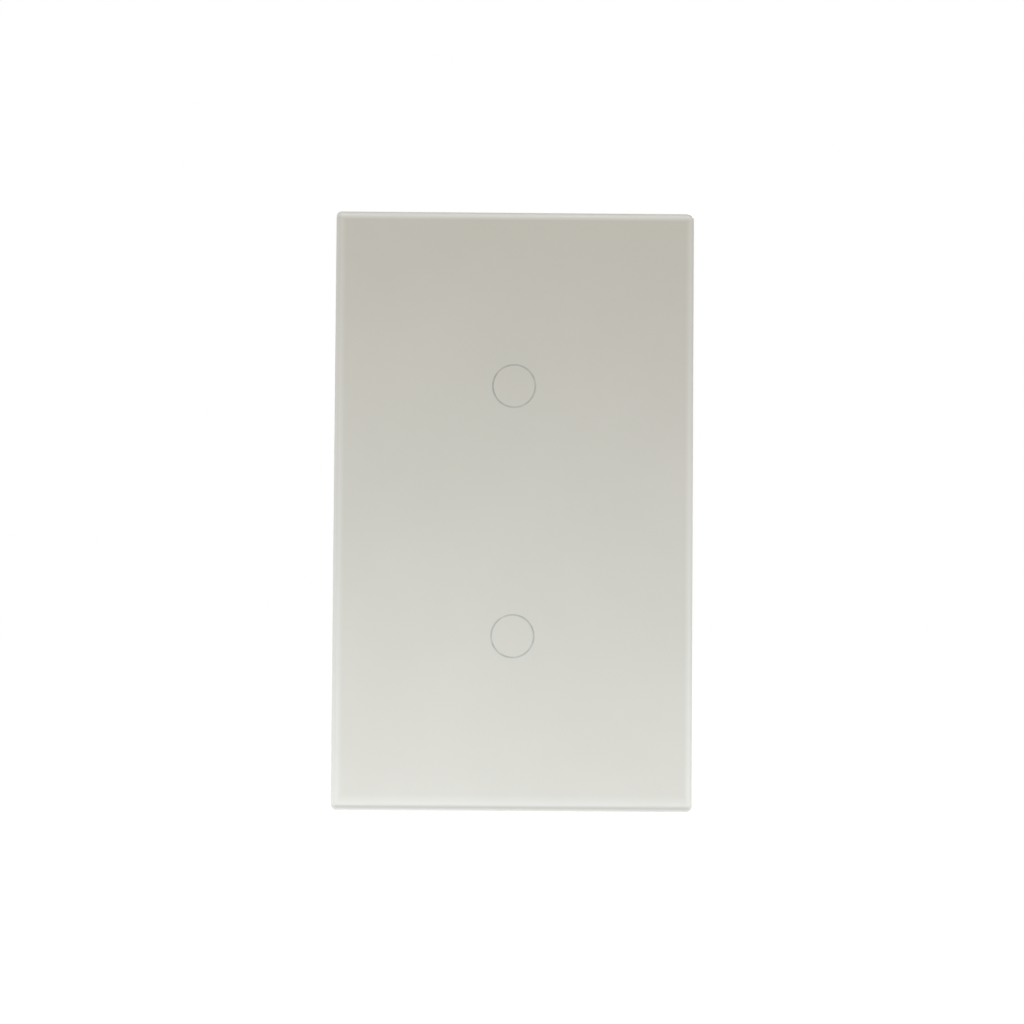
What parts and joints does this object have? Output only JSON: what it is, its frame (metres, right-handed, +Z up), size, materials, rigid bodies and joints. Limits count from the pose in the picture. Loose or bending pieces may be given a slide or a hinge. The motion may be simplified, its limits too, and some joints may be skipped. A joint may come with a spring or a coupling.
{
  "type": "touch light switch",
  "caption": "Flush wall light switch with a glass front, touch places marked by rings, and relays and screw terminals in a housing behind it.",
  "frame": {"origin": "the point of the wall's surface behind the middle of the panel", "axes": "+X right as a person faces the wall, +Y into the wall, +Z up"},
  "size_m": [0.072, 0.0359, 0.12],
  "materials": {
    "glass": "clear toughened glass, polished",
    "printed_film": "off-white print",
    "tape": "white foam tape",
    "frame_plastic": "fine moulded grain, white",
    "chassis_plastic": "fine moulded grain, white",
    "housing_plastic": "fine moulded grain, white",
    "terminal_plastic": "green moulding",
    "relay_plastic": "black moulding",
    "bobbin_plastic": "natural moulding",
    "black_plastic": "black moulding",
    "board_laminate": "green laminate with solder mask",
    "guide_plastic": "milky moulding",
    "spring_steel": "bright spring steel",
    "bracket_steel": "zinc-plated sheet",
    "screw_steel": "zinc-plated",
    "terminal_brass": "plated brass",
    "contact_metal": "tinned copper",
    "copper_winding": "enamelled copper",
    "relay_iron": "plated soft iron",
    "ferrite": "dark sintered ferrite",
    "winding_tape": "yellow tape",
    "capacitor_sleeve": "sleeved can",
    "film_box": "grey box",
    "varistor_coat": "blue epoxy coat",
    "fuse_body": "brown moulding",
    "led_body": "pale resin"
  },
  "bodies": {
    "switch_module": {"mounting_bracket": "bracket_steel", "front_chassis": "chassis_plastic", "rear_housing": "housing_plastic", "case_screws": "screw_steel", "light_guide_upper": "guide_plastic", "light_guide_lower": "guide_plastic", "touch_spring_upper": "spring_steel", "touch_spring_lower": "spring_steel", "touch_board": "board_laminate", "touch_board_screws": "screw_steel", "touch_chip": "black_plastic", "touch_passives": "ferrite", "indicator_leds": "led_body", "board_socket": "black_plastic", "header_pins": "black_plastic", "power_board": "board_laminate", "power_board_screws": "screw_steel", "terminal_block": "terminal_plastic", "contact_bars": "contact_metal", "transformer_core": "ferrite", "transformer_winding": "winding_tape", "transformer_bobbin": "bobbin_plastic", "bulk_capacitor": "capacitor_sleeve", "choke": "ferrite", "varistor": "varistor_coat", "film_capacitor": "film_box", "rectifier": "black_plastic", "fuse": "fuse_body", "relay_1_case": "relay_plastic", "relay_1_base": "black_plastic", "relay_1_bobbin": "bobbin_plastic", "relay_1_winding": "copper_winding", "relay_1_yoke": "relay_iron", "relay_1_fixed_contact": "contact_metal", "relay_1_return_spring": "spring_steel", "relay_2_case": "relay_plastic", "relay_2_base": "black_plastic", "relay_2_bobbin": "bobbin_plastic", "relay_2_winding": "copper_winding", "relay_2_yoke": "relay_iron", "relay_2_fixed_contact": "contact_metal", "relay_2_return_spring": "spring_steel"},
    "front_panel": {"glass_panel": "glass", "backing_film": "printed_film", "adhesive_tape": "tape", "panel_frame": "frame_plastic", "panel_clips": "spring_steel"},
    "clamp_screw_1": {"terminal_screw_1": "screw_steel"},
    "clamp_cage_1": {"terminal_cage_1": "terminal_brass"},
    "clamp_screw_2": {"terminal_screw_2": "screw_steel"},
    "clamp_cage_2": {"terminal_cage_2": "terminal_brass"},
    "clamp_screw_3": {"terminal_screw_3": "screw_steel"},
    "clamp_cage_3": {"terminal_cage_3": "terminal_brass"},
    "relay_armature_1": {"relay_1_armature": "relay_iron", "relay_1_contact_leaf": "contact_metal"},
    "relay_armature_2": {"relay_2_armature": "relay_iron", "relay_2_contact_leaf": "contact_metal"}
  },
  "joints": [
    {"name": "panel_release", "type": "slide", "parent": "switch_module", "child": "front_panel", "axis": [0, -1, 0], "range_m": [0, 0.025], "deforming": ["panel_clips", "touch_spring_upper", "touch_spring_lower"]},
    {"name": "clamp_screw_1_turn", "type": "hinge", "parent": "switch_module", "child": "clamp_screw_1", "pos_m": [-0.01, 0.0225, -0.0267], "axis": [0, -1, 0], "range_deg": [0, 1800]},
    {"name": "clamp_cage_1_lift", "type": "slide", "parent": "switch_module", "child": "clamp_cage_1", "axis": [0, 1, 0], "range_m": [0, 0.0025]},
    {"name": "clamp_screw_2_turn", "type": "hinge", "parent": "switch_module", "child": "clamp_screw_2", "pos_m": [0, 0.0225, -0.0267], "axis": [0, -1, 0], "range_deg": [0, 1800]},
    {"name": "clamp_cage_2_lift", "type": "slide", "parent": "switch_module", "child": "clamp_cage_2", "axis": [0, 1, 0], "range_m": [0, 0.0025]},
    {"name": "clamp_screw_3_turn", "type": "hinge", "parent": "switch_module", "child": "clamp_screw_3", "pos_m": [0.01, 0.0225, -0.0267], "axis": [0, -1, 0], "range_deg": [0, 1800]},
    {"name": "clamp_cage_3_lift", "type": "slide", "parent": "switch_module", "child": "clamp_cage_3", "axis": [0, 1, 0], "range_m": [0, 0.0025]},
    {"name": "relay_1_armature_tilt", "type": "hinge", "parent": "switch_module", "child": "relay_armature_1", "pos_m": [-0.0085, 0.0205, -0.0037], "axis": [-1, 0, 0], "range_deg": [0, 3.5], "stiffness_Nm_per_rad": 0.03, "springref_deg": -5.73, "deforming": ["relay_1_return_spring"]},
    {"name": "relay_2_armature_tilt", "type": "hinge", "parent": "switch_module", "child": "relay_armature_2", "pos_m": [0.0085, 0.0205, -0.0037], "axis": [-1, 0, 0], "range_deg": [0, 3.5], "stiffness_Nm_per_rad": 0.03, "springref_deg": -5.73, "deforming": ["relay_2_return_spring"]}
  ],
  "couplings": [
    {"joint": "clamp_screw_1_turn", "follows": "clamp_cage_1_lift", "rad_per_m": 12566},
    {"joint": "clamp_screw_2_turn", "follows": "clamp_cage_2_lift", "rad_per_m": 12566},
    {"joint": "clamp_screw_3_turn", "follows": "clamp_cage_3_lift", "rad_per_m": 12566}
  ]
}
